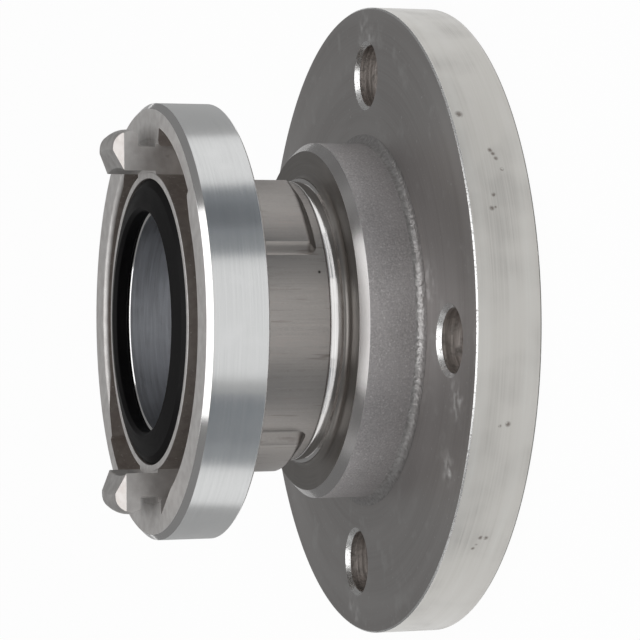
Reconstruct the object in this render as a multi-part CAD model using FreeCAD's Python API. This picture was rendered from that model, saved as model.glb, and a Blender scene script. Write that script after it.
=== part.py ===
import FreeCAD, Part
import math
import os

# A fire hose claw coupling screwed onto a round pipe flange with four bolt holes.
# Sizes are millimetres. The origin is the middle of the flange's sealing face, and +Z runs
# along the bore towards the claws. Bearings are degrees clockwise, seen from the claws' end,
# and bearing 0 is +X, where the first claw stands.

# The flange plate and its bolt holes
flange_diameter = 185.0
flange_thickness = 18.8
flange_edge_chamfer = 0.4
bolt_circle_diameter = 145.0
bolt_hole_diameter = 18.0
bolt_hole_count = 4
bolt_hole_bearing = 4.5
bolt_hole_chamfer = 1.2
bolt_hole_back_chamfer = 0.5

# The hub that stands on the flange, and the cove and short stub that lead up to the neck
hub_diameter = 104.8
hub_height = 18.1
hub_foot_fillet = 2.8
hub_edge_chamfer = 2.4
stub_height = 3.6
stub_ledge = 0.8
stub_ledge_height = 0.4
cove_radius = 1.7

# The waterway and the screwed joint between flange and coupling
bore_diameter = 64.0
bore_edge_chamfer = 1.0
thread_diameter = 75.18
thread_pitch = 2.309
thread_depth = 1.48
thread_crest_width = 0.5
thread_clearance = 0.1
spigot_length = 19.0
thread_relief = 0.6
thread_relief_width = 3.0
gasket_thickness = 2.0
gasket_side_clearance = 0.4

# The coupling's neck round the thread, with its three raised chucking pads
neck_wall = 3.51
neck_length = 24.7
pad_height = 3.1
pad_bearing = 41.5
pad_spread = 44.0
pad_count = 3
pad_end_gap = 2.2
pad_corner_radius = 3.4
pad_flank = 2.6
pad_root = 1.0

# The coupling's ring, its channel and the rail that the other half's claws grip
ring_diameter = 126.5
ring_depth = 17.6
ring_back_chamfer = 0.5
ring_bevel_width = 1.6
ring_bevel_depth = 1.6
channel_floor = 5.1
rail_inner_diameter = 103.6
rail_undercut = 5.2
rail_thickness = 4.9
rail_edge_radius = 1.4
claw_land_spread = 28.8
rail_start_bearing = 51.0
rail_lead_in = 20.0
rail_lead_out = 24.0

# The collar that holds the face seal
collar_diameter = 86.8
seal_diameter = 83.0
seal_groove_inner_diameter = 69.0
seal_groove_depth = 7.3
lip_step = 2.2
seal_proud = 2.0
seal_outer_drop = 0.7
seal_outer_bead = 2.2
seal_clearance = 0.15

# The two claws
claw_count = 2
claw_width = 20.0
claw_inner_diameter = 88.8
claw_shank_outer_diameter = 102.0
claw_reach = 11.9
claw_nose_radius = 4.9
claw_nose_diameter = 111.0
claw_hook_gap = 5.1
claw_inner_slope = 2.8
claw_end_bevel = 2.0
claw_end_bevel_depth = 2.8
claw_top_flat = 0.9
claw_hook_inset = 0.9
claw_root_overlap = 0.15

# Heights along the bore, from the sealing face up
hub_face_z = flange_thickness + hub_height
joint_z = hub_face_z + cove_radius + stub_height
ring_back_z = joint_z + neck_length
face_z = ring_back_z + ring_depth
channel_z = ring_back_z + channel_floor
rail_under_z = face_z - rail_thickness
spigot_end_z = joint_z + spigot_length
gasket_seat_z = spigot_end_z + gasket_thickness
lip_z = face_z - lip_step
seal_groove_z = face_z - seal_groove_depth
claw_tip_z = face_z + claw_reach

# Radii that several pieces share
bore_r = bore_diameter / 2
thread_r = thread_diameter / 2
thread_root_r = thread_r - thread_depth
neck_r = thread_r + neck_wall
ring_r = ring_diameter / 2
rail_r = rail_inner_diameter / 2
channel_outer_r = rail_r + rail_undercut
collar_r = collar_diameter / 2
seal_r = seal_diameter / 2
seal_groove_inner_r = seal_groove_inner_diameter / 2

# A length that takes a cutting tool safely past the surface that it cuts
past = 5.0
# How near two places are when they count as the same
same_place = 0.01
full_turn = 360.0
up = FreeCAD.Vector(0, 0, 1)
centre = FreeCAD.Vector(0, 0, 0)


def corner(r, z):
    """A point of a turned profile, at radius r and height z."""
    return FreeCAD.Vector(r, 0, z)


def line(start, end):
    return Part.LineSegment(start, end).toShape()


def arc(start, middle, end):
    return Part.Arc(start, middle, end).toShape()


def round_corner(start, arc_centre, end):
    """An arc of a quarter turn about arc_centre, from start to end."""
    radius = (start - arc_centre).Length
    outward = (start + end) / 2 - arc_centre
    on_arc = arc_centre + outward * (radius / outward.Length)
    return arc(start, on_arc, end)


def turned(edges, sweep=full_turn):
    """The solid that a closed profile makes when it turns about the bore."""
    face = Part.Face(Part.Wire(edges))
    return face.revolve(centre, up, sweep)


def turned_polygon(points):
    """A turned solid whose profile has straight sides only; points are (radius, height)."""
    corners = [corner(r, z) for r, z in points]
    edges = [line(a, b) for a, b in zip(corners, corners[1:] + corners[:1])]
    return turned(edges)


def tube(inner_r, outer_r, bottom_z, top_z):
    """A plain ring between two radii and two heights."""
    return turned_polygon([(inner_r, bottom_z), (outer_r, bottom_z), (outer_r, top_z), (inner_r, top_z)])


def wedge(start, end, outer_r, bottom_z, top_z):
    """A slice of a disc from bearing start to bearing end."""
    disc = Part.makeCylinder(outer_r, top_z - bottom_z, FreeCAD.Vector(0, 0, bottom_z), up, end - start)
    disc.rotate(centre, up, -end)
    return disc


def at_bearing(shape, bearing):
    """A copy of a shape, turned clockwise about the bore."""
    copy = shape.copy()
    copy.rotate(centre, up, -bearing)
    return copy


def thread_rings(root_r, crest_r, bottom_z, top_z):
    """The thread as a stack of ridges that stand from root_r to crest_r."""
    count = int((top_z - bottom_z) / thread_pitch)
    ridges = []
    for index in range(count):
        middle = bottom_z + (index + 0.5) * thread_pitch
        half_root = (thread_pitch - thread_crest_width) / 2
        half_crest = thread_crest_width / 2
        overlap = math.copysign(thread_clearance, root_r - crest_r)
        ridges.append(turned_polygon([
            (root_r + overlap, middle - half_root),
            (root_r, middle - half_root),
            (crest_r, middle - half_crest),
            (crest_r, middle + half_crest),
            (root_r, middle + half_root),
            (root_r + overlap, middle + half_root),
        ]))
    return ridges


def flange_blank():
    """Plate, hub, cove and spigot in one turned piece, before the bolt holes."""
    plate_r = flange_diameter / 2
    hub_r = hub_diameter / 2
    spigot_r = thread_root_r - thread_clearance
    chamfer = flange_edge_chamfer
    foot = corner(hub_r + hub_foot_fillet, flange_thickness + hub_foot_fillet)
    ledge_r = neck_r + stub_ledge
    ledge_z = hub_face_z + cove_radius
    cove = corner(ledge_r + cove_radius, ledge_z)
    points = [
        corner(bore_r, 0),
        corner(plate_r - chamfer, 0),
        corner(plate_r, chamfer),
        corner(plate_r, flange_thickness - chamfer),
        corner(plate_r - chamfer, flange_thickness),
        corner(hub_r + hub_foot_fillet, flange_thickness),
    ]
    edges = [line(a, b) for a, b in zip(points, points[1:])]
    foot_top = corner(hub_r, flange_thickness + hub_foot_fillet)
    edges.append(round_corner(points[-1], foot, foot_top))
    hub_points = [
        foot_top,
        corner(hub_r, hub_face_z - hub_edge_chamfer),
        corner(hub_r - hub_edge_chamfer, hub_face_z),
        corner(ledge_r + cove_radius, hub_face_z),
    ]
    edges += [line(a, b) for a, b in zip(hub_points, hub_points[1:])]
    cove_top = corner(ledge_r, ledge_z)
    edges.append(round_corner(hub_points[-1], cove, cove_top))
    spigot_points = [
        cove_top,
        corner(neck_r, ledge_z + stub_ledge_height),
        corner(neck_r, joint_z),
        corner(spigot_r, joint_z),
        corner(spigot_r, spigot_end_z - bore_edge_chamfer),
        corner(spigot_r - bore_edge_chamfer, spigot_end_z),
        corner(bore_r, spigot_end_z),
        corner(bore_r, 0),
    ]
    edges += [line(a, b) for a, b in zip(spigot_points, spigot_points[1:])]
    return turned(edges)


def bolt_hole():
    """One bolt hole as a cutting tool, chamfered in front and lightly broken at the sealing face."""
    radius = bolt_hole_diameter / 2
    back = FreeCAD.Vector(bolt_circle_diameter / 2, 0, 0)
    hole = Part.makeCylinder(radius, flange_thickness + 2 * past, back - up * past)
    back_flare = Part.makeCone(radius + bolt_hole_back_chamfer, radius, bolt_hole_back_chamfer, back)
    front = back + up * (flange_thickness - bolt_hole_chamfer)
    front_flare = Part.makeCone(radius, radius + bolt_hole_chamfer, bolt_hole_chamfer, front)
    return hole.fuse([back_flare, front_flare])


def make_flange():
    first_ridge_z = joint_z + thread_pitch
    ridges = thread_rings(
        thread_root_r - thread_clearance,
        thread_r - thread_clearance,
        first_ridge_z,
        spigot_end_z - bore_edge_chamfer,
    )
    flange = flange_blank().fuse(ridges)
    hole = bolt_hole()
    step = full_turn / bolt_hole_count
    holes = [at_bearing(hole, bolt_hole_bearing + index * step) for index in range(bolt_hole_count)]
    return flange.cut(holes).removeSplitter()


def coupling_blank():
    """Neck, ring, collar and bore in one turned piece, before the channel is cut."""
    relief_r = thread_r + thread_relief
    bevel_r = ring_r - ring_bevel_width
    return turned_polygon([
        (thread_r + thread_clearance, joint_z),
        (neck_r, joint_z),
        (neck_r, ring_back_z),
        (ring_r - ring_back_chamfer, ring_back_z),
        (ring_r, ring_back_z + ring_back_chamfer),
        (ring_r, face_z - ring_bevel_depth),
        (bevel_r, face_z),
        (seal_r, face_z),
        (seal_r, seal_groove_z),
        (seal_groove_inner_r, seal_groove_z),
        (seal_groove_inner_r, lip_z),
        (bore_r + bore_edge_chamfer, lip_z),
        (bore_r, lip_z - bore_edge_chamfer),
        (bore_r, gasket_seat_z),
        (relief_r, gasket_seat_z),
        (relief_r, gasket_seat_z - thread_relief_width),
        (thread_r + thread_clearance, gasket_seat_z - thread_relief_width),
    ])


def channel_tool():
    """The open channel between collar and rail, with the rail's front edge rounded."""
    edge = rail_edge_radius
    rounding_centre = corner(rail_r + edge, face_z - edge)
    floor_in = corner(collar_r, channel_z)
    floor_out = corner(rail_r, channel_z)
    round_start = corner(rail_r, face_z - edge)
    round_end = corner(rail_r + edge, face_z)
    top_out = corner(rail_r + edge, face_z + past)
    top_in = corner(collar_r, face_z + past)
    return turned([
        line(floor_in, floor_out),
        line(floor_out, round_start),
        round_corner(round_start, rounding_centre, round_end),
        line(round_end, top_out),
        line(top_out, top_in),
        line(top_in, floor_in),
    ])


def lead_tool(bearing, side):
    """A straight cut that eases the rail's end; side is 1 before the bearing and -1 after it."""
    length = 2 * channel_outer_r
    tool = Part.makeBox(
        rail_undercut,
        length,
        face_z + past - rail_under_z,
        FreeCAD.Vector(rail_r - rail_undercut, 0 if side > 0 else -length, rail_under_z),
    )
    return at_bearing(tool, bearing)


def claw_side_tools():
    """What is cut off a claw's blank so that its ends are flat and bevelled at the tip."""
    half = claw_width / 2
    length = ring_diameter
    height = claw_tip_z - channel_z + 2 * past
    tools = []
    for side in (1, -1):
        wall_y = half if side > 0 else -half - length
        tools.append(Part.makeBox(length, length, height, FreeCAD.Vector(0, wall_y, channel_z - past)))
        bevel = Part.makePolygon([
            FreeCAD.Vector(0, side * half, claw_tip_z - claw_end_bevel_depth),
            FreeCAD.Vector(0, side * half, claw_tip_z),
            FreeCAD.Vector(0, side * (half - claw_end_bevel), claw_tip_z),
            FreeCAD.Vector(0, side * half, claw_tip_z - claw_end_bevel_depth),
        ])
        tools.append(Part.Face(bevel).extrude(FreeCAD.Vector(length, 0, 0)))
    return tools


def claw():
    """One claw at bearing 0, from the channel's floor to its hooked tip."""
    inner_r = claw_inner_diameter / 2
    shank_r = claw_shank_outer_diameter / 2
    nose_r = claw_nose_diameter / 2
    hook_z = face_z + claw_hook_gap
    root_in_r = collar_r - claw_root_overlap
    root_out_r = rail_r + rail_edge_radius
    nose_centre = corner(nose_r - claw_nose_radius, claw_tip_z - claw_nose_radius)
    nose_top = corner(nose_r - claw_nose_radius, claw_tip_z)
    nose_side = corner(nose_r, claw_tip_z - claw_nose_radius)
    inside = [
        corner(root_in_r, channel_z),
        corner(root_in_r, face_z),
        corner(inner_r, face_z),
        corner(inner_r, claw_tip_z - claw_inner_slope),
        corner(nose_r - claw_nose_radius - claw_top_flat, claw_tip_z),
        nose_top,
    ]
    outside = [
        nose_side,
        corner(nose_r - claw_hook_inset, hook_z),
        corner(shank_r, hook_z),
        corner(shank_r, face_z),
        corner(root_out_r, face_z),
        corner(root_out_r, channel_z),
        inside[0],
    ]
    outline = [line(a, b) for a, b in zip(inside, inside[1:])]
    outline.append(round_corner(nose_top, nose_centre, nose_side))
    outline += [line(a, b) for a, b in zip(outside, outside[1:])]
    spread = 2 * math.degrees(math.asin(claw_width / claw_inner_diameter))
    blank = turned(outline, spread)
    blank.rotate(centre, up, -spread / 2)
    return blank.cut(claw_side_tools())


def chucking_pad():
    """One raised pad on the neck, with rounded free corners and sloping flanks."""
    pad_r = neck_r + pad_height
    bottom_z = joint_z + pad_end_gap
    block = tube(neck_r - pad_root, pad_r, bottom_z, ring_back_z + pad_root)
    half = pad_spread / 2
    pad = block.common(wedge(-half, half, pad_r + past, bottom_z - past, ring_back_z + past))
    free_corners = [edge for edge in pad.Edges if is_radial_at(edge, bottom_z)]
    pad = pad.makeFillet(pad_corner_radius, free_corners)
    rim = [edge for edge in pad.Edges if is_pad_rim(edge, pad_r)]
    return pad.makeChamfer(pad_flank, rim)


def is_radial_at(edge, z):
    """Whether an edge runs straight out from the bore at height z."""
    ends = [vertex.Point for vertex in edge.Vertexes]
    if len(ends) != 2 or any(abs(point.z - z) > same_place for point in ends):
        return False
    reach = [math.hypot(point.x, point.y) for point in ends]
    return abs(reach[0] - reach[1]) > pad_height / 2


def is_pad_rim(edge, pad_r):
    """Whether an edge bounds the pad's outer face, its end at the ring left out."""
    reach = [math.hypot(vertex.Point.x, vertex.Point.y) for vertex in edge.Vertexes]
    on_face = all(abs(r - pad_r) < same_place for r in reach)
    return on_face and edge.BoundBox.ZMin < ring_back_z


def make_coupling_body():
    between_claws = full_turn / claw_count
    gap_start = claw_land_spread / 2
    rail_end = between_claws - gap_start
    lead_in_end = rail_start_bearing + rail_lead_in
    lead_out_start = rail_end - rail_lead_out
    above_z = face_z + past
    undercut = tube(collar_r, channel_outer_r, channel_z, rail_under_z)
    gap = tube(collar_r, channel_outer_r, channel_z, above_z)
    cuts = [
        undercut.common(wedge(gap_start, rail_end, ring_r, channel_z, above_z)),
        gap.common(wedge(gap_start, rail_start_bearing, ring_r, channel_z, above_z)),
        lead_tool(lead_in_end, 1).common(
            wedge(gap_start, lead_in_end, channel_outer_r, rail_under_z, above_z)),
        lead_tool(lead_out_start, -1).common(
            wedge(lead_out_start, rail_end, channel_outer_r, rail_under_z, above_z)),
    ]
    body = coupling_blank().cut(channel_tool())
    for index in range(claw_count):
        for cut in cuts:
            body = body.cut(at_bearing(cut, index * between_claws))
    claws = [at_bearing(claw(), index * between_claws) for index in range(claw_count)]
    pad = chucking_pad()
    pads = [at_bearing(pad, pad_bearing + index * full_turn / pad_count) for index in range(pad_count)]
    ridges = thread_rings(
        thread_r + thread_clearance,
        thread_root_r + thread_clearance,
        joint_z + thread_pitch / 2,
        gasket_seat_z - thread_relief_width,
    )
    return body.fuse(claws + pads + ridges).removeSplitter()


def make_face_seal():
    """The rubber ring in the collar's groove, whose inner lip stands proud of the face."""
    gap = seal_clearance
    foot_r = seal_groove_inner_r + gap
    outer_r = seal_r - gap
    top_z = face_z + seal_proud
    return turned_polygon([
        (foot_r, seal_groove_z),
        (outer_r, seal_groove_z),
        (outer_r, face_z - seal_outer_drop),
        (outer_r - seal_outer_bead, face_z + seal_outer_drop),
        (bore_r + bore_edge_chamfer, top_z),
        (bore_r, top_z - bore_edge_chamfer),
        (bore_r, lip_z),
        (foot_r, lip_z),
    ])


def make_thread_gasket():
    """The flat washer between the spigot's end and the shoulder inside the coupling."""
    return tube(
        bore_r + gasket_side_clearance,
        thread_root_r - gasket_side_clearance,
        spigot_end_z,
        gasket_seat_z,
    )


def main():
    os.makedirs("parts", exist_ok=True)
    nodes = {
        "flange": make_flange(),
        "coupling_body": make_coupling_body(),
        "face_seal": make_face_seal(),
        "thread_gasket": make_thread_gasket(),
    }
    for name, shape in nodes.items():
        solids = shape.Solids
        print(name, "solids", len(solids), "valid", shape.isValid(), "volume", round(shape.Volume))
        result = solids[0] if len(solids) == 1 else shape
        result.exportStep(os.path.join("parts", name + ".step"))


main()
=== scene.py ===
import math
import bpy
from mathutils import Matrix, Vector


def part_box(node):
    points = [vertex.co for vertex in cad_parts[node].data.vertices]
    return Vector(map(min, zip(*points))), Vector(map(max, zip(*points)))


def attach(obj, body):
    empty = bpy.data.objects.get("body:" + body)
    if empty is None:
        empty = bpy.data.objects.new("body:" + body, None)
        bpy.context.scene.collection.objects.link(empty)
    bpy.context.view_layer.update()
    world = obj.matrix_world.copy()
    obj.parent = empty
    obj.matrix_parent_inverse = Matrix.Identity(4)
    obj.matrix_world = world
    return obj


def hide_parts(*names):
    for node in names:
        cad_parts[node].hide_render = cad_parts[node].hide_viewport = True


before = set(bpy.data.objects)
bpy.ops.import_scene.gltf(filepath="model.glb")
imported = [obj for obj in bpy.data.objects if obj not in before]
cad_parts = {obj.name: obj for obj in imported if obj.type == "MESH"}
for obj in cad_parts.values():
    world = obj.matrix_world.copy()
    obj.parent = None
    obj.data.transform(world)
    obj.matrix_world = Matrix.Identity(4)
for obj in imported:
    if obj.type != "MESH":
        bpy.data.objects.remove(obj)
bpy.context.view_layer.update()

# A fire hose claw coupling screwed onto a round pipe flange with four bolt holes.
# The frame is metres, with +Z along the bore from the flange to the claws and +X through the
# first claw. Bearings are degrees clockwise, seen from the claws' end, from +X towards -Y.

mm = 0.001
full_turn = 360.0

# How finely round forms are drawn: steps round the bore and round a bolt hole, and degrees
# between the points of a rounded corner
turned_steps = 256
bolt_hole_steps = 96
corner_step = 12

# Sizes that the frame gives
flange_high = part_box("flange")[1]
body_low, body_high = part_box("coupling_body")
seal_low, seal_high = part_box("face_seal")
gasket_low, gasket_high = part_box("thread_gasket")
plate_r = flange_high.x
spigot_end_z = flange_high.z
joint_z = body_low.z
ring_r = body_high.y
claw_tip_z = body_high.z
seal_outer_r = seal_high.x
seal_groove_z = seal_low.z
seal_top_z = seal_high.z
gasket_seat_z = gasket_high.z

# The flange plate
plate_thickness = 18.8 * mm
plate_edge = 0.4 * mm
bolt_circle_r = 72.5 * mm
bolt_hole_r = 9.0 * mm
bolt_hole_count = 4
bolt_hole_bearing = 4.5
bolt_hole_chamfer = 1.2 * mm
bolt_hole_back_chamfer = 0.5 * mm

# The hub, and the cove and stub that lead up to the neck
hub_r = 52.4 * mm
hub_face_z = 36.9 * mm
hub_foot_fillet = 2.8 * mm
hub_edge_chamfer = 2.4 * mm
cove_r = 1.7 * mm
stub_ledge = 0.8 * mm
stub_ledge_height = 0.4 * mm

# The waterway and the screwed joint
bore_r = 32.0 * mm
bore_edge = 1.0 * mm
thread_r = 37.59 * mm
thread_depth = 1.48 * mm
thread_pitch = 2.309 * mm
thread_crest = 0.5 * mm
thread_clearance = 0.1 * mm
thread_relief = 0.6 * mm
thread_relief_width = 3.0 * mm

# The neck and its pads
neck_r = 41.1 * mm
neck_length = 24.7 * mm
neck_root_r = 0.5 * mm
pad_height = 3.1 * mm
pad_bearing = 41.5
pad_spread = 44.0
pad_count = 3
pad_end_gap = 2.2 * mm
pad_corner_r = 3.4 * mm
pad_flank = 3.2 * mm
pad_root = 1.0 * mm
pad_sunk = 0.03 * mm

# The ring, its channel and its rail
ring_depth = 17.6 * mm
ring_back_edge = 0.5 * mm
bevel_width = 1.6 * mm
bevel_depth = 1.6 * mm
channel_floor = 5.1 * mm
channel_root_r = 0.3 * mm
channel_outer_r = 57.0 * mm
rail_r = 51.8 * mm
rail_thickness = 4.9 * mm
rail_edge_r = 1.4 * mm
claw_land_half = 14.4
rail_start = 51.0
rail_lead_in = 20.0
rail_lead_out = 24.0

# The collar and the face seal
collar_r = 43.4 * mm
collar_edge_r = 0.2 * mm
seal_seat_r = 41.5 * mm
seal_groove_inner_r = 34.5 * mm
lip_step = 2.2 * mm
seal_clearance = 0.15 * mm
seal_outer_drop = 0.7 * mm
seal_outer_bead = 2.2 * mm
seal_bead_r = 0.8 * mm
seal_lip_r = 0.5 * mm
seal_shoulder_r = 0.4 * mm
seal_edge_r = 0.2 * mm

# The gasket at the spigot's end
gasket_inner_step = 0.4 * mm
gasket_inner_edge_r = 0.5 * mm
gasket_outer_edge_r = 0.2 * mm

# The claws
claw_count = 2
claw_half_width = 10.0 * mm
claw_inner_r = 44.4 * mm
claw_shank_r = 51.0 * mm
claw_nose_r = 55.5 * mm
claw_nose_round = 4.9 * mm
claw_hook_gap = 5.1 * mm
claw_inner_slope = 2.8 * mm
claw_end_bevel = 2.0 * mm
claw_end_bevel_depth = 2.8 * mm
claw_end_break = 0.3 * mm
claw_top_flat = 0.9 * mm
claw_hook_inset = 0.9 * mm
claw_hook_edge_r = 0.5 * mm
claw_inner_edge_r = 0.4 * mm
claw_top_edge_r = 0.3 * mm
claw_root_overlap = 0.15 * mm

# Heights along the bore
ring_back_z = joint_z + neck_length
face_z = ring_back_z + ring_depth
channel_z = ring_back_z + channel_floor
rail_under_z = face_z - rail_thickness
lip_z = face_z - lip_step

# Machined edges are broken by about this much, and the two that meet at the joint by more
broken_edge = 0.15 * mm
joint_edge = 0.35 * mm

# Cutting tools stand out of the metal by this much
past = 5.0 * mm

# Points nearer to each other than same_place are one point. A hair keeps points just apart,
# and is the slack when faces are told apart by their places.
same_place = 0.001 * mm
hair = 0.01 * mm

# Where two faces meet at more than this many degrees, the edge between them is crisp
crisp_corner = 28

# Shares of a unit normal that tell level, sloping and upright faces apart
squarely = 0.99
mostly = 0.9
halfway = 0.5
partly = 0.3
slightly = 0.05


def deselect_all():
    bpy.ops.object.select_all(action="DESELECT")


def make_active(piece):
    deselect_all()
    piece.select_set(True)
    bpy.context.view_layer.objects.active = piece


def rounded(corners):
    """The points of a closed outline; each corner is (radius, height, rounding)."""
    points = []
    for index, (x, z, rounding) in enumerate(corners):
        here = Vector((x, z))
        if rounding == 0:
            points.append(here)
            continue
        before = Vector(corners[index - 1][:2])
        after = Vector(corners[(index + 1) % len(corners)][:2])
        back = (before - here).normalized()
        on = (after - here).normalized()
        half_angle = back.angle(on) / 2
        centre = here + (back + on).normalized() * (rounding / math.sin(half_angle))
        start = here + back * (rounding / math.tan(half_angle)) - centre
        end = here + on * (rounding / math.tan(half_angle)) - centre
        sweep = start.angle_signed(end)
        count = max(2, round(abs(math.degrees(sweep)) / corner_step))
        for step in range(count + 1):
            turn = -sweep * step / count
            across = start.x * math.cos(turn) - start.y * math.sin(turn)
            upward = start.x * math.sin(turn) + start.y * math.cos(turn)
            points.append(centre + Vector((across, upward)))
    return points


def drawn(name, places):
    """A flat face drawn point by point, left selected in edit mode."""
    deselect_all()
    bpy.ops.mesh.primitive_plane_add(size=mm, location=(0, 0, 0))
    piece = bpy.context.object
    piece.name = name
    bpy.ops.object.mode_set(mode="EDIT")
    bpy.ops.mesh.select_mode(type="VERT")
    bpy.ops.mesh.merge(type="CENTER")
    bpy.ops.transform.translate(value=places[0])
    for here, there in zip(places, places[1:]):
        bpy.ops.mesh.extrude_vertices_move(TRANSFORM_OT_translate={"value": there - here})
    bpy.ops.mesh.select_all(action="SELECT")
    bpy.ops.mesh.edge_face_add()
    return piece


def turned(name, corners, sweep=full_turn, steps=turned_steps):
    """A closed outline in the X-Z plane, spun about the bore."""
    piece = drawn(name, [Vector((point.x, 0, point.y)) for point in rounded(corners)])
    if sweep == full_turn:
        bpy.ops.mesh.delete(type="ONLY_FACE")
        bpy.ops.mesh.select_all(action="SELECT")
    bpy.ops.mesh.spin(steps=steps, angle=math.radians(sweep), center=(0, 0, 0), axis=(0, 0, 1))
    bpy.ops.mesh.select_all(action="SELECT")
    bpy.ops.mesh.remove_doubles(threshold=same_place)
    bpy.ops.mesh.normals_make_consistent(inside=False)
    bpy.ops.object.mode_set(mode="OBJECT")
    return piece


def prism(name, corners, start, end):
    """A closed outline in the Y-Z plane, drawn out along X."""
    piece = drawn(name, [Vector((start, point.x, point.y)) for point in rounded(corners)])
    bpy.ops.mesh.extrude_region_move(TRANSFORM_OT_translate={"value": (end - start, 0, 0)})
    bpy.ops.mesh.select_all(action="SELECT")
    bpy.ops.mesh.normals_make_consistent(inside=False)
    bpy.ops.object.mode_set(mode="OBJECT")
    return piece


def at_bearing(piece, bearing):
    """Turns a piece clockwise about the bore, with the turn kept in its mesh."""
    make_active(piece)
    piece.rotation_euler.z = -math.radians(bearing)
    bpy.ops.object.transform_apply(location=False, rotation=True, scale=False)
    return piece


def slice_of_ring(name, corners, start, end):
    """A turned piece that fills the bearings from start to end only."""
    spread = end - start
    piece = turned(name, corners, spread, max(4, round(spread * turned_steps / full_turn)))
    middle = sum((vertex.co for vertex in piece.data.vertices), Vector()) / len(piece.data.vertices)
    offset = -math.degrees(math.atan2(middle.y, middle.x))
    return at_bearing(piece, (start + end) / 2 - offset)


def copied(piece):
    make_active(piece)
    bpy.ops.object.duplicate(linked=False)
    return bpy.context.object


def combined(piece, tool, operation):
    """Cuts a tool out of a piece, or joins it on, and removes the tool."""
    make_active(piece)
    modifier = piece.modifiers.new("combined", "BOOLEAN")
    modifier.object = tool
    modifier.operation = operation
    modifier.solver = "EXACT"
    bpy.ops.object.modifier_apply(modifier=modifier.name)
    bpy.data.objects.remove(tool)
    return piece


def around(piece, count, operation, onto):
    """Copies of a tool, evenly spread about the bore, each cut out of or joined to a piece."""
    for index in range(count):
        combined(onto, at_bearing(copied(piece), index * full_turn / count), operation)
    bpy.data.objects.remove(piece)


def smooth(piece):
    """Smooth shading that keeps flat faces flat and edges crisp."""
    make_active(piece)
    bpy.ops.object.shade_smooth_by_angle(angle=math.radians(crisp_corner))
    modifier = piece.modifiers.new("weighted", "WEIGHTED_NORMAL")
    modifier.keep_sharp = True
    bpy.ops.object.modifier_apply(modifier=modifier.name)


def thread_corners(root_r, crest_r, bottom_z, count, upward):
    """The corners of a stack of thread ridges, from bottom to top or from top to bottom."""
    # Neighbouring ridges stay this share of a pitch apart
    root_gap = 0.02
    half_root = thread_pitch / 2 * (1 - root_gap)
    half_crest = thread_crest / 2
    corners = []
    for index in range(count):
        middle = bottom_z + (index + 0.5) * thread_pitch
        corners += [
            (root_r, middle - half_root, 0),
            (crest_r, middle - half_crest, 0),
            (crest_r, middle + half_crest, 0),
            (root_r, middle + half_root, 0),
        ]
    return corners if upward else corners[::-1]


def bolt_hole_tool():
    """One bolt hole with its two chamfers, spun about its own middle line and then moved out."""
    flare_r = bolt_hole_r + bolt_hole_chamfer
    back_flare_r = bolt_hole_r + bolt_hole_back_chamfer
    tool = turned("bolt_hole", [
        (hair, -past, 0),
        (back_flare_r, -past, 0),
        (back_flare_r, 0, 0),
        (bolt_hole_r, bolt_hole_back_chamfer, 0),
        (bolt_hole_r, plate_thickness - bolt_hole_chamfer, 0),
        (flare_r, plate_thickness, 0),
        (flare_r, plate_thickness + past, 0),
        (hair, plate_thickness + past, 0),
    ], steps=bolt_hole_steps)
    make_active(tool)
    tool.location.x = bolt_circle_r
    bpy.ops.object.transform_apply(location=True, rotation=False, scale=False)
    return at_bearing(tool, bolt_hole_bearing)


def make_flange():
    spigot_r = thread_r - thread_depth - thread_clearance
    ledge_r = neck_r + stub_ledge
    ledge_z = hub_face_z + cove_r
    ridge_start = joint_z + thread_pitch
    ridge_count = int((spigot_end_z - bore_edge - ridge_start) / thread_pitch)
    corners = [
        (bore_r, 0, broken_edge),
        (plate_r - plate_edge, 0, broken_edge),
        (plate_r, plate_edge, broken_edge),
        (plate_r, plate_thickness - plate_edge, broken_edge),
        (plate_r - plate_edge, plate_thickness, broken_edge),
        (hub_r, plate_thickness, hub_foot_fillet),
        (hub_r, hub_face_z - hub_edge_chamfer, broken_edge),
        (hub_r - hub_edge_chamfer, hub_face_z, broken_edge),
        (ledge_r, hub_face_z, cove_r),
        (ledge_r, ledge_z, 0),
        (neck_r, ledge_z + stub_ledge_height, 0),
        (neck_r, joint_z, joint_edge),
        (spigot_r, joint_z, 0),
    ]
    corners += thread_corners(spigot_r, thread_r - thread_clearance, ridge_start, ridge_count, True)
    corners += [
        (spigot_r, spigot_end_z - bore_edge, 0),
        (spigot_r - bore_edge, spigot_end_z, 0),
        (bore_r, spigot_end_z, broken_edge),
    ]
    flange = turned("flange_piece", corners)
    around(bolt_hole_tool(), bolt_hole_count, "DIFFERENCE", flange)
    smooth(flange)
    return flange


def ring_tool(name, inner_r, outer_r, bottom_z, top_z, start, end):
    return slice_of_ring(name, [
        (inner_r, bottom_z, 0),
        (outer_r, bottom_z, 0),
        (outer_r, top_z, 0),
        (inner_r, top_z, 0),
    ], start, end)


def lead_tool(start, end, flat_at):
    """What a straight cut at one bearing takes off the rail's end."""
    bottom_z = rail_under_z - broken_edge
    tool = ring_tool("lead", collar_r, channel_outer_r, bottom_z, face_z + past, start, end)
    make_active(tool)
    turn = -math.radians(flat_at)
    outward = Vector((math.cos(turn), math.sin(turn), 0))
    bpy.ops.object.mode_set(mode="EDIT")
    bpy.ops.mesh.select_all(action="SELECT")
    bpy.ops.mesh.bisect(
        plane_co=outward * rail_r,
        plane_no=outward,
        use_fill=True,
        clear_outer=True,
        threshold=same_place,
    )
    bpy.ops.object.mode_set(mode="OBJECT")
    return tool


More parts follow.
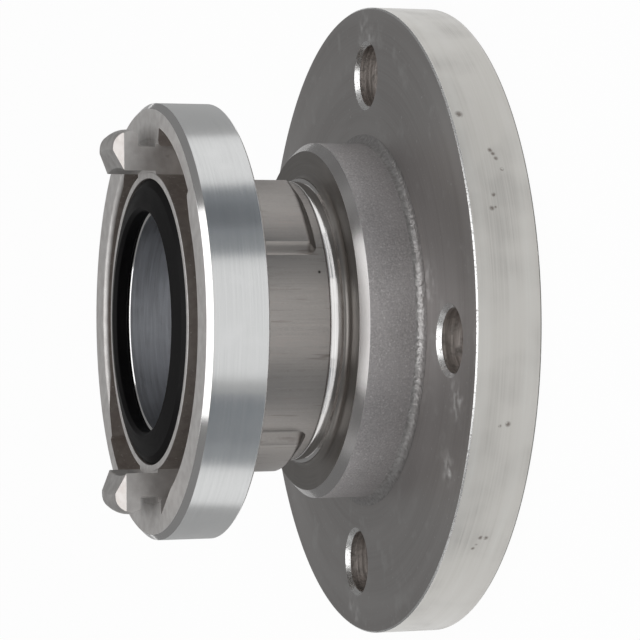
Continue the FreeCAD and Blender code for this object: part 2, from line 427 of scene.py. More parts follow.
def make_claw():
    hook_z = face_z + claw_hook_gap
    claw_foot_r = rail_r + rail_edge_r
    # The blank is a little wider than the claw, and its flat sides are cut afterwards
    spare = 2
    spread = 2 * math.degrees(math.asin(claw_half_width / claw_inner_r)) + spare
    claw = slice_of_ring("claw", [
        (collar_r - claw_root_overlap, channel_z - broken_edge, 0),
        (collar_r - claw_root_overlap, face_z - broken_edge, 0),
        (claw_inner_r, face_z - broken_edge, 0),
        (claw_inner_r, claw_tip_z - claw_inner_slope, claw_inner_edge_r),
        (claw_nose_r - claw_nose_round - claw_top_flat, claw_tip_z, claw_top_edge_r),
        (claw_nose_r, claw_tip_z, claw_nose_round),
        (claw_nose_r, claw_tip_z - claw_nose_round - hair, 0),
        (claw_nose_r - claw_hook_inset, hook_z, claw_hook_edge_r),
        (claw_shank_r, hook_z, claw_hook_edge_r),
        (claw_shank_r, face_z - broken_edge, 0),
        (claw_foot_r, face_z - broken_edge, 0),
        (claw_foot_r, channel_z - broken_edge, 0),
    ], -spread / 2, spread / 2)
    # The bevels' lines run on a little past the claw's top
    above = 0.5
    bevel_top_y = claw_half_width - claw_end_bevel * (1 + above)
    bevel_top_z = claw_tip_z + claw_end_bevel_depth * above
    sides = prism("claw_sides", [
        (claw_half_width, channel_z - past, 0),
        (claw_half_width, claw_tip_z - claw_end_bevel_depth, claw_end_break),
        (bevel_top_y, bevel_top_z, 0),
        (-bevel_top_y, bevel_top_z, 0),
        (-claw_half_width, claw_tip_z - claw_end_bevel_depth, claw_end_break),
        (-claw_half_width, channel_z - past, 0),
    ], collar_r - past, claw_nose_r + past)
    return combined(claw, sides, "INTERSECT")


def rise(radius, inside):
    """How far a rounding has come up from its start, this far in from its rim."""
    if inside >= radius:
        return radius
    return math.sqrt(radius ** 2 - (radius - inside) ** 2)


def make_pad():
    """One raised pad on the neck, rounded at its two free corners, with flanks that ease in and out.

    A flat grid is laid round the neck. Its lines crowd towards the rim, where the flanks are.
    """
    pad_r = neck_r + pad_height
    foot_r = neck_r - pad_sunk
    bottom_z = joint_z + pad_end_gap
    length = ring_back_z + pad_root - bottom_z
    half_width = pad_r * math.radians(pad_spread / 2)
    deselect_all()
    bpy.ops.mesh.primitive_grid_add(x_subdivisions=48, y_subdivisions=30, size=2, location=(0, 0, 0))
    pad = bpy.context.object
    pad.name = "pad"
    for vertex in pad.data.vertices:
        across = vertex.co.x
        from_end = length * ((vertex.co.y + 1) / 2) ** 2
        half_here = half_width - pad_corner_r + rise(pad_corner_r, from_end)
        from_side = half_width - half_here * (1 - (1 - abs(across)) ** 2)
        inside = min(from_side, from_end)
        if max(from_side, from_end) < pad_corner_r:
            inside = pad_corner_r - math.hypot(pad_corner_r - from_side, pad_corner_r - from_end)
        up_flank = min(max(inside, 0) / pad_flank, 1)
        reach = foot_r + (pad_r - foot_r) * up_flank ** 2 * (3 - 2 * up_flank)
        turn = math.copysign(half_width - from_side, across) / pad_r
        vertex.co = (reach * math.cos(turn), reach * math.sin(turn), bottom_z + from_end)
    # The sheet's inner side lies between the neck's outside and its thread
    wall_share = 0.925
    bpy.ops.object.mode_set(mode="EDIT")
    bpy.ops.mesh.select_all(action="SELECT")
    bpy.ops.mesh.extrude_region_move()
    bpy.ops.transform.resize(value=(wall_share, wall_share, 1), center_override=(0, 0, 0))
    bpy.ops.mesh.select_all(action="SELECT")
    bpy.ops.mesh.normals_make_consistent(inside=False)
    bpy.ops.object.mode_set(mode="OBJECT")
    return at_bearing(pad, pad_bearing)


def make_coupling_body():
    between_claws = full_turn / claw_count
    rail_end = between_claws - claw_land_half
    lead_in_end = rail_start + rail_lead_in
    lead_out_start = rail_end - rail_lead_out
    inner_thread_r = thread_r + thread_clearance
    relief_z = gasket_seat_z - thread_relief_width
    ridge_start = joint_z + thread_pitch / 2
    ridge_count = int((relief_z - ridge_start) / thread_pitch)
    corners = [
        (neck_r, joint_z, joint_edge),
        (neck_r, ring_back_z, neck_root_r),
        (ring_r - ring_back_edge, ring_back_z, broken_edge),
        (ring_r, ring_back_z + ring_back_edge, broken_edge),
        (ring_r, face_z - bevel_depth, broken_edge),
        (ring_r - bevel_width, face_z, broken_edge),
        (rail_r, face_z, rail_edge_r),
        (rail_r, channel_z, 0),
        (collar_r, channel_z, channel_root_r),
        (collar_r, face_z, collar_edge_r),
        (seal_seat_r, face_z, collar_edge_r),
        (seal_seat_r, seal_groove_z, 0),
        (seal_groove_inner_r, seal_groove_z, 0),
        (seal_groove_inner_r, lip_z, 0),
        (bore_r + bore_edge, lip_z, 0),
        (bore_r, lip_z - bore_edge, 0),
        (bore_r, gasket_seat_z, broken_edge),
        (thread_r + thread_relief, gasket_seat_z, 0),
        (thread_r + thread_relief, relief_z, 0),
        (inner_thread_r, relief_z, 0),
    ]
    inner_crest_r = inner_thread_r - thread_depth
    corners += thread_corners(inner_thread_r, inner_crest_r, ridge_start, ridge_count, False)
    corners.append((inner_thread_r, joint_z, broken_edge))
    body = turned("coupling_body_piece", corners)
    # The cuts from rail_start on begin one degree early, inside the gap that is already open
    in_gap = rail_start - 1
    walls = (collar_r, channel_outer_r)
    gap = ring_tool("gap", *walls, channel_z, face_z + past, claw_land_half, rail_start)
    around(gap, claw_count, "DIFFERENCE", body)
    undercut = ring_tool("undercut", *walls, channel_z, rail_under_z, in_gap, rail_end)
    around(undercut, claw_count, "DIFFERENCE", body)
    around(lead_tool(in_gap, lead_in_end, lead_in_end), claw_count, "DIFFERENCE", body)
    around(lead_tool(lead_out_start, rail_end, lead_out_start), claw_count, "DIFFERENCE", body)
    around(make_claw(), claw_count, "UNION", body)
    around(make_pad(), pad_count, "UNION", body)
    smooth(body)
    return body


def make_face_seal():
    foot_r = seal_groove_inner_r + seal_clearance
    seal = turned("face_seal_piece", [
        (foot_r, seal_groove_z, seal_edge_r),
        (seal_outer_r, seal_groove_z, seal_edge_r),
        (seal_outer_r, face_z - seal_outer_drop, seal_shoulder_r),
        (seal_outer_r - seal_outer_bead, face_z + seal_outer_drop, seal_bead_r),
        (bore_r + bore_edge, seal_top_z, seal_lip_r),
        (bore_r, seal_top_z - bore_edge, seal_lip_r),
        (bore_r, lip_z, seal_edge_r),
        (foot_r, lip_z, 0),
    ])
    smooth(seal)
    return seal


def make_thread_gasket():
    gasket_inner_r = bore_r + gasket_inner_step
    gasket_outer_r = gasket_high.x
    gasket = turned("thread_gasket_piece", [
        (gasket_inner_r, gasket_low.z, gasket_inner_edge_r),
        (gasket_outer_r, gasket_low.z, gasket_outer_edge_r),
        (gasket_outer_r, gasket_high.z, gasket_outer_edge_r),
        (gasket_inner_r, gasket_high.z, gasket_inner_edge_r),
    ])
    smooth(gasket)
    return gasket


def linear(colour):
    """An sRGB hex colour as the linear values that a shader takes."""
    values = [int(colour[start:start + 2], 16) / 255 for start in (1, 3, 5)]
    return [v / 12.92 if v <= 0.04045 else ((v + 0.055) / 1.055) ** 2.4 for v in values] + [1]


def add_node(tree, kind, links=None, **settings):
    """Adds a node; settings are its properties, and links its sockets' values or sources."""
    node = tree.nodes.new(kind)
    for name, value in settings.items():
        setattr(node, name, value)
    for socket, value in (links or {}).items():
        if isinstance(value, bpy.types.NodeSocket):
            tree.links.new(value, node.inputs[socket])
        else:
            node.inputs[socket].default_value = value
    return node


def new_material(name):
    material = bpy.data.materials.new(name)
    material.use_nodes = True
    tree = material.node_tree
    tree.nodes.clear()
    return material, tree


def place_at(bearing, reach, height):
    """A place from its bearing, its distance from the bore's middle line and its height."""
    turn = -math.radians(bearing)
    return Vector((reach * math.cos(turn), reach * math.sin(turn), height))


def grain(tree, size):
    """Object coordinates on which a pattern's grains are this large."""
    coordinates = add_node(tree, "ShaderNodeTexCoord")
    scaled = add_node(tree, "ShaderNodeVectorMath", {
        0: coordinates.outputs["Object"],
        "Scale": 1 / size,
    }, operation="SCALE")
    return scaled.outputs["Vector"]


def lay(tree, round_it, over_it):
    """Coordinates for marks this long round the bore and this long square to that.

    Round it long and over it short gives a lathe's rings, and the other way gives drawn lines
    along the bore. The direction from the bore stands for the angle, so there is no seam.
    Lengths round the bore are true at middle_reach and shrink in step towards the bore.
    """
    middle_reach = 60 * mm
    coordinates = add_node(tree, "ShaderNodeTexCoord")
    flat = add_node(tree, "ShaderNodeVectorMath", {
        0: coordinates.outputs["Object"],
        1: (1, 1, 0),
    }, operation="MULTIPLY")
    direction = add_node(tree, "ShaderNodeVectorMath", {
        0: flat.outputs["Vector"],
    }, operation="NORMALIZE")
    around_it = add_node(tree, "ShaderNodeVectorMath", {
        0: direction.outputs["Vector"],
        "Scale": middle_reach / round_it,
    }, operation="SCALE")
    reach = add_node(tree, "ShaderNodeVectorMath", {0: flat.outputs["Vector"]}, operation="LENGTH")
    parts = add_node(tree, "ShaderNodeSeparateXYZ", {"Vector": coordinates.outputs["Object"]})
    depth = add_node(tree, "ShaderNodeMath", {
        0: reach.outputs["Value"],
        1: parts.outputs["Z"],
    }, operation="ADD")
    steps = add_node(tree, "ShaderNodeMath", {
        0: depth.outputs["Value"],
        1: 1 / over_it,
    }, operation="MULTIPLY")
    upward = add_node(tree, "ShaderNodeCombineXYZ", {"Z": steps.outputs["Value"]})
    whole = add_node(tree, "ShaderNodeVectorMath", {
        0: around_it.outputs["Vector"],
        1: upward.outputs["Vector"],
    }, operation="ADD")
    return whole.outputs["Vector"]


def patches(tree, vector, low, high, detail=2.0):
    """The share of a cloudy pattern: none where it is under low, whole where it is over high."""
    noise = add_node(tree, "ShaderNodeTexNoise", {"Vector": vector, "Scale": 1.0, "Detail": detail})
    share = add_node(tree, "ShaderNodeMapRange", {
        "Value": noise.outputs["Fac"],
        "From Min": low,
        "From Max": high,
    })
    return share.outputs["Result"]


def near(tree, places):
    """A share that is whole round each place and gone at its own distance from it."""
    whole_within = 0.3
    coordinates = add_node(tree, "ShaderNodeTexCoord")
    total = 0.0
    for place, reach in places:
        distance = add_node(tree, "ShaderNodeVectorMath", {
            0: coordinates.outputs["Object"],
            1: place,
        }, operation="DISTANCE")
        share = add_node(tree, "ShaderNodeMapRange", {
            "Value": distance.outputs["Value"],
            "From Min": reach,
            "From Max": reach * whole_within,
        })
        total = add_node(tree, "ShaderNodeMath", {
            0: share.outputs["Result"],
            1: total,
        }, operation="MAXIMUM").outputs["Value"]
    return total


def both(tree, share, other):
    product = add_node(tree, "ShaderNodeMath", {0: share, 1: other}, operation="MULTIPLY")
    return product.outputs["Value"]


def layered(tree, base, layers):
    """A colour with others laid over it, each by its own share."""
    colour = linear(base)
    for share, over in layers:
        mixed = add_node(tree, "ShaderNodeMix", {
            0: share,
            6: colour,
            7: linear(over),
        }, data_type="RGBA")
        colour = mixed.outputs[2]
    return colour


def finish(tree, colour, roughness, wear, relief, depth, anisotropy=0.0, metallic=1.0, specular=0.5):
    """Gives a material its shader.

    Its roughness goes from the first value to the second as wear rises, and relief stands up
    by depth where it is whole. Anisotropy draws the shine out across the lathe's rings.
    """
    shine = add_node(tree, "ShaderNodeMapRange", {
        "Value": wear,
        "To Min": roughness[0],
        "To Max": roughness[1],
    })
    shader = add_node(tree, "ShaderNodeBsdfPrincipled", {
        "Base Color": colour,
        "Metallic": metallic,
        "Roughness": shine.outputs["Result"],
        "Specular IOR Level": specular,
        "Anisotropic": anisotropy,
        "Anisotropic Rotation": 0.25,
    })
    bump = add_node(tree, "ShaderNodeBump", {"Height": relief, "Distance": depth})
    tree.links.new(bump.outputs["Normal"], shader.inputs["Normal"])
    if anisotropy > 0:
        tangent = add_node(tree, "ShaderNodeTangent", direction_type="RADIAL", axis="Z")
        tree.links.new(tangent.outputs["Tangent"], shader.inputs["Tangent"])
    add_node(tree, "ShaderNodeOutputMaterial", {"Surface": shader.outputs["BSDF"]})


def faced_plate():
    """Aluminium plate faced on a lathe: fine rings, pale blooms, and scuffs by the bolt holes.

    The rings of a facing tool are 0.3 mm apart; they are drawn 0.7 mm apart so that they show.
    """
    material, tree = new_material("lathe_faced_aluminium")
    rings = patches(tree, lay(tree, 45 * mm, 0.7 * mm), 0.35, 0.65, 3)
    broad = patches(tree, lay(tree, 60 * mm, 9 * mm), 0.42, 0.62)
    blooms = patches(tree, grain(tree, 7 * mm), 0.58, 0.72, 4)
    flecks = patches(tree, grain(tree, 1.1 * mm), 0.7, 0.76, 1)
    top = plate_thickness
    scuffed = near(tree, [
        (place_at(3.6, 89.5 * mm, top), 4 * mm),
        (place_at(2.6, 86.0 * mm, top), 6 * mm),
        (place_at(7.0, 84.0 * mm, top), 5 * mm),
        (place_at(0.5, 83.2 * mm, top), 3 * mm),
        (place_at(187, 85.4 * mm, top), 5 * mm),
        (place_at(184, 88.0 * mm, top), 4 * mm),
        (place_at(163, 91.0 * mm, top), 2 * mm),
        (place_at(106, 79.5 * mm, top), 7 * mm),
        (place_at(120, 81.5 * mm, top), 6 * mm),
        (place_at(80, 58.0 * mm, top), 8 * mm),
    ])
    scuffs = both(tree, scuffed, patches(tree, grain(tree, 2.6 * mm), 0.42, 0.72, 5))
    colour = layered(tree, "#c3bfbd", [
        (rings, "#cac7c5"),
        (broad, "#cfccca"),
        (blooms, "#d5d3d1"),
        (scuffs, "#eeedec"),
        (flecks, "#dddcdb"),
    ])
    finish(tree, colour, (0.34, 0.56), scuffs, rings, 0.004 * mm, 0.5)
    return material


def turned_rim():
    """Aluminium edge turned fine and handled: soft blooms, and a few dark casting pores.

    The rings of a finishing cut are 0.1 mm apart; they are drawn 0.5 mm apart so that they show.
    """
    material, tree = new_material("turned_aluminium_rim")
    rings = patches(tree, lay(tree, 30 * mm, 0.5 * mm), 0.3, 0.7, 3)
    blooms = patches(tree, grain(tree, 16 * mm), 0.45, 0.7, 3)
    pale = patches(tree, lay(tree, 40 * mm, 5 * mm), 0.5, 0.7)
    # Bearing in degrees, then height and reach in millimetres
    pore_places = [
        (52.8, 16.1, 1.4), (60.3, 9.8, 0.9), (61.0, 9.2, 0.8), (61.9, 8.6, 0.8), (64.0, 7.5, 0.7),
        (68.8, 11.2, 0.8), (71.2, 12.3, 0.9), (71.0, 11.2, 0.5), (108.0, 10.6, 0.6), (107.7, 8.3, 1.0),
        (132.0, 10.0, 0.5), (130.4, 7.8, 0.9), (130.3, 9.4, 0.9), (132.9, 10.6, 0.7),
    ]
    pores = near(tree, [
        (place_at(bearing, plate_r, height * mm), reach * mm)
        for bearing, height, reach in pore_places
    ])
    pores = both(tree, pores, patches(tree, grain(tree, 0.7 * mm), 0.3, 0.5))
    colour = layered(tree, "#bfbdb8", [
        (blooms, "#b3b1ad"),
        (pale, "#c8c7c3"),
        (rings, "#c4c2be"),
        (pores, "#807a75"),
    ])
    finish(tree, colour, (0.34, 0.44), blooms, rings, 0.003 * mm, 0.4)
    return material


def broken_edge_metal():
    """A corner broken with a file: bright, with small dull breaks along it."""
    material, tree = new_material("filed_aluminium_edge")
    breaks = patches(tree, grain(tree, 0.7 * mm), 0.54, 0.72, 2)
    colour = layered(tree, "#fafaf9", [(breaks, "#bbb8b6")])
    finish(tree, colour, (0.26, 0.46), breaks, breaks, 0.02 * mm)
    return material


def blasted_hub():
    """Shot-blasted casting: an even grain of bright and dark grains.

    The grit leaves dents of about 0.3 mm; they are drawn 0.5 mm wide so that they show.
    """
    material, tree = new_material("blasted_aluminium")
    dents = patches(tree, grain(tree, 0.5 * mm), 0.35, 0.65, 3)
    glints = patches(tree, grain(tree, 0.6 * mm), 0.58, 0.72, 2)
    broad = patches(tree, grain(tree, 10 * mm), 0.4, 0.65, 3)
    colour = layered(tree, "#b8b5b6", [
        (broad, "#c4c1c2"),
        (dents, "#d2cfcf"),
        (glints, "#e2e0e0"),
    ])
    finish(tree, colour, (0.56, 0.48), glints, dents, 0.03 * mm)
    return material


def turned_metal(name, dark, light, roughness, spacing, depth, anisotropy=0.6):
    """Aluminium from the lathe: rings this far apart and this deep, between two colours.

    Real rings are 0.1 to 0.3 mm apart; the spacings given are wider so that they show.
    """
    material, tree = new_material(name)
    rings = patches(tree, lay(tree, 30 * mm, spacing), 0.32, 0.68, 3)
    blooms = patches(tree, grain(tree, 9 * mm), 0.5, 0.75, 3)
    colour = layered(tree, dark, [(rings, light), (blooms, light)])
    finish(tree, colour, (roughness, roughness * 1.12), rings, rings, depth, anisotropy)
    return material


def cast_metal(name, dark, light, roughness, size, depth):
    """Dull aluminium, left by the die or a rough cut: soft mottling and small bright rubs."""
    material, tree = new_material(name)
    mottling = patches(tree, grain(tree, size), 0.35, 0.65, 4)
    rubs = patches(tree, grain(tree, size / 3), 0.64, 0.74, 3)
    colour = layered(tree, dark, [(mottling, light), (rubs, "#dddbd9")])
    finish(tree, colour, (roughness, roughness * 0.7), rubs, mottling, depth)
    return material


def forged_neck():
    """Forging cleaned with a belt along the bore: fine lines that way and a fine speckle.

    Belt lines are 0.2 mm apart; they are drawn 0.9 mm apart so that they show.
    """
    material, tree = new_material("belt_cleaned_forging")
    lines = patches(tree, lay(tree, 0.9 * mm, 22 * mm), 0.36, 0.64, 3)
    furrows = patches(tree, lay(tree, 1.6 * mm, 16 * mm), 0.64, 0.76, 2)
    speckle = patches(tree, grain(tree, 0.8 * mm), 0.35, 0.65, 2)
    broad = patches(tree, grain(tree, 12 * mm), 0.45, 0.7, 2)
    mark = near(tree, [
        (place_at(24.8, neck_r, joint_z - 1.2 * mm), 0.6 * mm),
        (place_at(70.6, neck_r, 44.8 * mm), 0.6 * mm),
    ])
    colour = layered(tree, "#9b9793", [
        (broad, "#a69d99"),
        (lines, "#aaa6a3"),
        (speckle, "#a39f9c"),
        (furrows, "#857f7b"),
        (mark, "#2a2624"),
    ])
    finish(tree, colour, (0.36, 0.44), lines, lines, 0.01 * mm)
    return material


def drilled_hole():
    """A drilled hole's wall: dark rings round the hole where the drill rubbed.

    A drill's rings are about 0.3 mm apart; they are drawn 1.1 mm apart so that they show.
    """
    round_hole = 12.5 * mm
    ring_spacing = mm / 0.9
    material, tree = new_material("drilled_aluminium")
    coordinates = add_node(tree, "ShaderNodeTexCoord")
    squeezed = add_node(tree, "ShaderNodeVectorMath", {
        0: coordinates.outputs["Object"],
        1: (1 / round_hole, 1 / round_hole, 1 / ring_spacing),
    }, operation="MULTIPLY")
    rings = patches(tree, squeezed.outputs["Vector"], 0.35, 0.65, 3)
    smears = patches(tree, grain(tree, 2.5 * mm), 0.5, 0.7, 3)
    colour = layered(tree, "#9c9692", [(rings, "#d0cac6"), (smears, "#8a8581")])
    finish(tree, colour, (0.42, 0.6), smears, rings, 0.05 * mm)
    return material


def moulded_rubber():
    """Moulded black nitrile rubber: a soft sheen, a little dust and faint flow marks."""
    material, tree = new_material("moulded_rubber_seal")
    flow = patches(tree, lay(tree, 25 * mm, 2.5 * mm), 0.4, 0.7, 3)
    dust = patches(tree, grain(tree, 0.9 * mm), 0.66, 0.8, 3)
    colour = layered(tree, "#080708", [(flow, "#0e0d0e"), (dust, "#242220")])
    finish(tree, colour, (0.42, 0.54), flow, flow, 0.02 * mm, metallic=0.0, specular=0.12)
    return material


def cut_gasket():
    """Grey rubber sheet, cut with a knife: dull, with a fine even grain."""
    material, tree = new_material("cut_rubber_gasket")
    speckle = patches(tree, grain(tree, 0.6 * mm), 0.35, 0.65)
    colour = layered(tree, "#302e2d", [(speckle, "#3d3b3a")])
    finish(tree, colour, (0.7, 0.8), speckle, speckle, 0.02 * mm, metallic=0.0)
    return material


def paint(piece, materials, choose):
    """Gives each face the material that choose names from its place and its normal."""
    names = list(materials)
    piece.data.materials.clear()
    for name in names:
        piece.data.materials.append(materials[name])
    for face in piece.data.polygons:
        place = face.center
        r = math.hypot(place.x, place.y)
        face.material_index = names.index(choose(r, place, face.normal))


def from_bolt_hole(place):
    """How far a place is from the middle line of the nearest bolt hole."""
    middles = [
        place_at(bolt_hole_bearing + index * full_turn / bolt_hole_count, bolt_circle_r, place.z)
        for index in range(bolt_hole_count)
    ]
    return min((place - middle).length for middle in middles)


def flange_zone(r, place, normal):
    hub_foot_starts = hub_r + 0.1 * mm
    hub_side_starts = hub_r - 0.3 * mm
    hub_chamfer_starts = hub_r - hub_edge_chamfer - 0.05 * mm
    stub_ends = neck_r + 0.5 * mm
    if r < bore_r + bore_edge:
        return "bore"
    from_hole = from_bolt_hole(place)
    if from_hole < bolt_hole_r + hair:
        return "hole"
    if from_hole < bolt_hole_r + bolt_hole_chamfer and abs(normal.z) < mostly:
        return "edge"
    if place.z < plate_thickness + hair:
        at_rim = r > plate_r - plate_edge - broken_edge
        if at_rim and normal.z > slightly:
            return "edge"
        # The chamfer that faces the floor takes the painted shade
        if at_rim and -squarely < normal.z < -slightly:
            return "back_edge"
        outward = (normal.x * place.x + normal.y * place.y) / r
        return "plate_rim" if outward > mostly else "plate_face"
    if r > hub_foot_starts:
        return "hub_foot"
    if r > hub_side_starts:
        return "hub_side"
    if r > hub_chamfer_starts:
        return "hub_chamfer"
    if r < stub_ends:
        return "stub"
    return "hub_face"


def claw_zone(normal):
    """A claw's milled end bevels are told from the rest by their slope."""
    slope = claw_end_bevel_depth / math.hypot(claw_end_bevel, claw_end_bevel_depth)
    slack = 0.02
    on_end = abs(abs(normal.y) - slope) < slack
    return "claw_bevel" if on_end and normal.z > partly else "claw"


def body_zone(r, place, normal):
    bevel_starts = ring_r - bevel_width - 0.05 * mm
    rail_starts = rail_r - 0.05 * mm
    face_starts_z = face_z - 0.5 * mm
    if r < bore_r + bore_edge:
        return "ring_bevel" if place.z > lip_z - bore_edge else "bore"
    if place.z > face_z + hair:
        return claw_zone(normal)
    if r > ring_r - ring_back_edge - broken_edge and place.z < ring_back_z + ring_back_edge:
        return "ring_edge"
    if r > bevel_starts and place.z > ring_back_z:
        return "ring_bevel" if normal.z > halfway else "ring_rim"
    if place.z > face_starts_z or (place.z > face_z - rail_edge_r and r > rail_starts):
        return "rail_face"
    if place.z < ring_back_z + hair:
        return "neck"
    return "channel"


filed_edge = broken_edge_metal()
# Coarse turning gives the waterway a cool, streaked sheen
turned_bore = turned_metal("turned_aluminium_bore", "#b8b9bc", "#cbcdd1", 0.34, 0.9 * mm, 0.02 * mm)
flange_metals = {
    "plate_face": faced_plate(),
    "plate_rim": turned_rim(),
    "edge": filed_edge,
    # The edge towards the pipe is painted dark as painted shade, where it turns down to the floor, and
    # its metal is left dull
    "back_edge": cast_metal(
        "aluminium_back_edge_painted_shade", "#6b6965", "#7f7d79", 0.6, 1.5 * mm, 0.01 * mm,
    ),
    "hub_side": blasted_hub(),
    # Rubbing has brightened the grains of the fillet at the hub's foot
    "hub_foot": cast_metal(
        "rubbed_aluminium_fillet", "#a8a5a4", "#c6c4c3", 0.34, 1.0 * mm, 0.1 * mm,
    ),
    # A keen tool left the chamfer smooth enough to mirror the lamps as one bright band
    "hub_chamfer": turned_metal(
        "turned_aluminium_chamfer", "#d0cdcc", "#dbd9d8", 0.17, 0.5 * mm, 0.003 * mm,
    ),
    # The shoulder mirrors softly, darker and browner than the bright cuts beside it
    "hub_face": turned_metal(
        "turned_aluminium_shoulder", "#9c9793", "#aca8a4", 0.3, 0.5 * mm, 0.006 * mm,
    ),
    # Polishing makes the stub nearly a mirror, with fine bright and dark rings
    "stub": turned_metal(
        "polished_aluminium_stub", "#d6d3d1", "#efeeed", 0.08, 0.6 * mm, 0.004 * mm, 0.3,
    ),
    "bore": turned_bore,
    "hole": drilled_hole(),
}
body_metals = {
    # Fine turning draws the ring's reflections out into bright and dark bands
    "ring_rim": turned_metal(
        "turned_aluminium_ring", "#d2d3d3", "#dbdcdc", 0.24, 0.4 * mm, 0.001 * mm, 0.7,
    ),
    # The bevel is the brightest cut, almost a mirror, and so is the waterway's lip
    "ring_bevel": turned_metal(
        "turned_aluminium_bevel", "#f0efee", "#f5f4f3", 0.11, 0.5 * mm, 0.002 * mm, 0.3,
    ),
    "ring_edge": filed_edge,
    # The face keeps the die's skin, pale and softly mottled
    "rail_face": cast_metal(
        "die_cast_aluminium_rail", "#d2cfcd", "#e0dedc", 0.56, 3.5 * mm, 0.03 * mm,
    ),
    # The channel was milled and not cleaned further, so it is dull and brownish
    "channel": cast_metal(
        "milled_aluminium_channel", "#a9a19c", "#b8b1ac", 0.6, 2.5 * mm, 0.03 * mm,
    ),
    # Like the face, a little darker where hands and other claws have rubbed
    "claw": cast_metal(
        "die_cast_aluminium_claw", "#c4c1bf", "#d5d3d1", 0.52, 3.0 * mm, 0.03 * mm,
    ),
    # The cutter left a claw's ends smoother than its skin, and their paler colour is a painted
    # highlight where they face the lamps
    "claw_bevel": cast_metal(
        "milled_claw_end_painted_highlight", "#d6d0cc", "#e0dbd8", 0.4, 2.0 * mm, 0.03 * mm,
    ),
    "bore": turned_bore,
    "neck": forged_neck(),
}
seal_rubber = moulded_rubber()
gasket_rubber = cut_gasket()

flange = make_flange()
paint(flange, flange_metals, flange_zone)
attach(flange, "root")
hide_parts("flange")

coupling_body = make_coupling_body()
paint(coupling_body, body_metals, body_zone)
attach(coupling_body, "root")
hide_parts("coupling_body")

face_seal = make_face_seal()
face_seal.data.materials.append(seal_rubber)
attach(face_seal, "root")
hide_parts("face_seal")

thread_gasket = make_thread_gasket()
thread_gasket.data.materials.append(gasket_rubber)
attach(thread_gasket, "root")
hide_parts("thread_gasket")


def make_floor():
    """A wide flat sheet of paper, seen white and still shaded by the object."""
    # What is left beside the glow is the paper's own shading, which keeps the object's shadow
    glow_share = 0.96
    below = (0, 0, -0.1 * mm)
    deselect_all()
    bpy.ops.mesh.primitive_circle_add(vertices=96, radius=4.0, fill_type="NGON", location=below)
    floor = bpy.context.object
    floor.name = "floor"
    bpy.ops.object.transform_apply(location=True, rotation=False, scale=False)
    material, tree = new_material("white_paper_floor")
    path = add_node(tree, "ShaderNodeLightPath")
    seen = add_node(tree, "ShaderNodeMath", {
        0: path.outputs["Is Camera Ray"],
        1: path.outputs["Is Glossy Ray"],
    }, operation="MAXIMUM")
    seen = add_node(tree, "ShaderNodeMath", {
        0: seen.outputs[0],
        1: path.outputs["Is Transmission Ray"],
    }, operation="MAXIMUM")
    share = add_node(tree, "ShaderNodeMath", {0: seen.outputs[0], 1: glow_share}, operation="MULTIPLY")
    paper = add_node(tree, "ShaderNodeBsdfDiffuse", {"Color": linear("#f6f6f6")})
    glow = add_node(tree, "ShaderNodeEmission", {"Color": linear("#ffffff"), "Strength": 1.0})
    mixed = add_node(tree, "ShaderNodeMixShader", {
        0: share.outputs[0],
        1: paper.outputs["BSDF"],
        2: glow.outputs["Emission"],
    })
    add_node(tree, "ShaderNodeOutputMaterial", {"Surface": mixed.outputs["Shader"]})
    floor.data.materials.append(material)


def add_softbox(name, bearing, elevation, distance, width, height, strength):
    """An oval lamp that faces the part, strength being about how white it looks in a mirror."""
    lift = math.radians(elevation)
    aim = Vector((0, 0, 50 * mm))
    outward = place_at(bearing, math.cos(lift), math.sin(lift))
    lamp = bpy.data.lights.new(name, "AREA")
    lamp.shape = "ELLIPSE"
    lamp.size = width
    lamp.size_y = height
    lamp.energy = strength * math.pi * width * height
    softbox = bpy.data.objects.new(name, lamp)
    bpy.context.scene.collection.objects.link(softbox)
    softbox.location = aim + outward * distance
    softbox.rotation_euler = outward.to_track_quat("Z", "Y").to_euler()
    softbox.visible_camera = False


def add_card(name, bearing, spread, colour):
    """A card flat on the floor, seen only in the metal, where it gives the bright rims their bands.

    It reaches from near the flange to the softboxes, and fills this spread of bearings.
    """
    near_r = 160 * mm
    far_r = 1600 * mm
    underside_z = 1.0 * mm
    topside_z = 1.5 * mm
    start = bearing - spread / 2
    card = ring_tool(name, near_r, far_r, underside_z, topside_z, start, start + spread)
    material, tree = new_material(name + "_cloth")
    card_cloth = add_node(tree, "ShaderNodeBsdfDiffuse", {"Color": linear(colour)})
    add_node(tree, "ShaderNodeOutputMaterial", {"Surface": card_cloth.outputs["BSDF"]})
    card.data.materials.append(material)
    card.visible_camera = False
    card.visible_diffuse = False
    card.visible_transmission = False
    card.visible_shadow = False


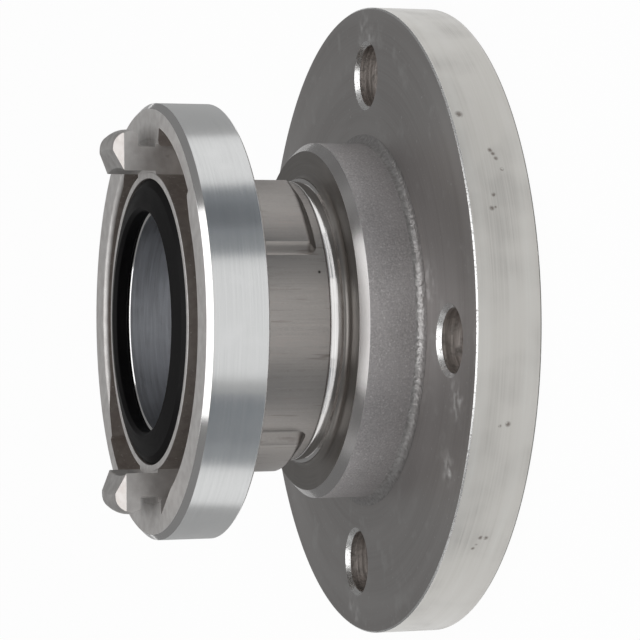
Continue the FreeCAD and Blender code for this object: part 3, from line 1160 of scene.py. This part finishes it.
def make_lights():
    """A softbox over the part and three round it, the floor's cards and an even grey room."""
    # Bearing and elevation in degrees, then distance, width and height in metres, then strength
    add_softbox("overhead_softbox", 350, 88, 1.4, 1.85, 1.85, 1.0)
    add_softbox("front_softbox", 92, 42, 1.5, 1.6, 0.7, 1.0)
    add_softbox("top_softbox", 0, 30, 1.6, 1.0, 0.8, 0.12)
    add_softbox("bottom_softbox", 180, 30, 1.6, 1.0, 0.8, 0.3)
    # Bearing and spread in degrees
    add_card("upper_outer_card", 28, 10, "#949aa0")
    add_card("upper_middle_card", 39.5, 13, "#7b8188")
    add_card("upper_inner_card", 53, 14, "#a6abb0")
    add_card("lower_inner_card", 120.5, 7, "#dcdcdc")
    add_card("lower_dark_card", 130, 12, "#9aa0a6")
    add_card("lower_middle_card", 143, 14, "#a2a7ac")
    add_card("lower_outer_card", 156.5, 13, "#b6babe")
    add_card("far_grey_card", 269.5, 156, "#d6d6d6")
    world = bpy.data.worlds.new("grey_room")
    bpy.context.scene.world = world
    world.use_nodes = True
    background = world.node_tree.nodes["Background"]
    background.inputs["Color"].default_value = linear("#7c7c7c")
    background.inputs["Strength"].default_value = 1.0


def make_camera():
    """The photograph's viewpoint: the bore lies across the picture, with the claws to the left."""
    place = Vector((0.152, -763.9, 287.9)) * mm
    tilt = math.radians(18.54)
    roll = math.radians(-0.398)
    right = Vector((0, -math.sin(tilt), -math.cos(tilt)))
    upward = Vector((1, 0, 0))
    back = right.cross(upward)
    turned_right = right * math.cos(roll) + upward * math.sin(roll)
    turned_up = upward * math.cos(roll) - right * math.sin(roll)
    data = bpy.data.cameras.new("camera")
    data.lens = 153.06
    data.sensor_width = 36.0
    data.clip_start = 0.05
    camera = bpy.data.objects.new("camera", data)
    bpy.context.scene.collection.objects.link(camera)
    columns = (turned_right, turned_up, back, place)
    for column, vector in enumerate(columns):
        for row in range(3):
            camera.matrix_world[row][column] = vector[row]
    bpy.context.scene.camera = camera


make_floor()
make_lights()
make_camera()
bpy.context.scene.view_settings.view_transform = "Standard"
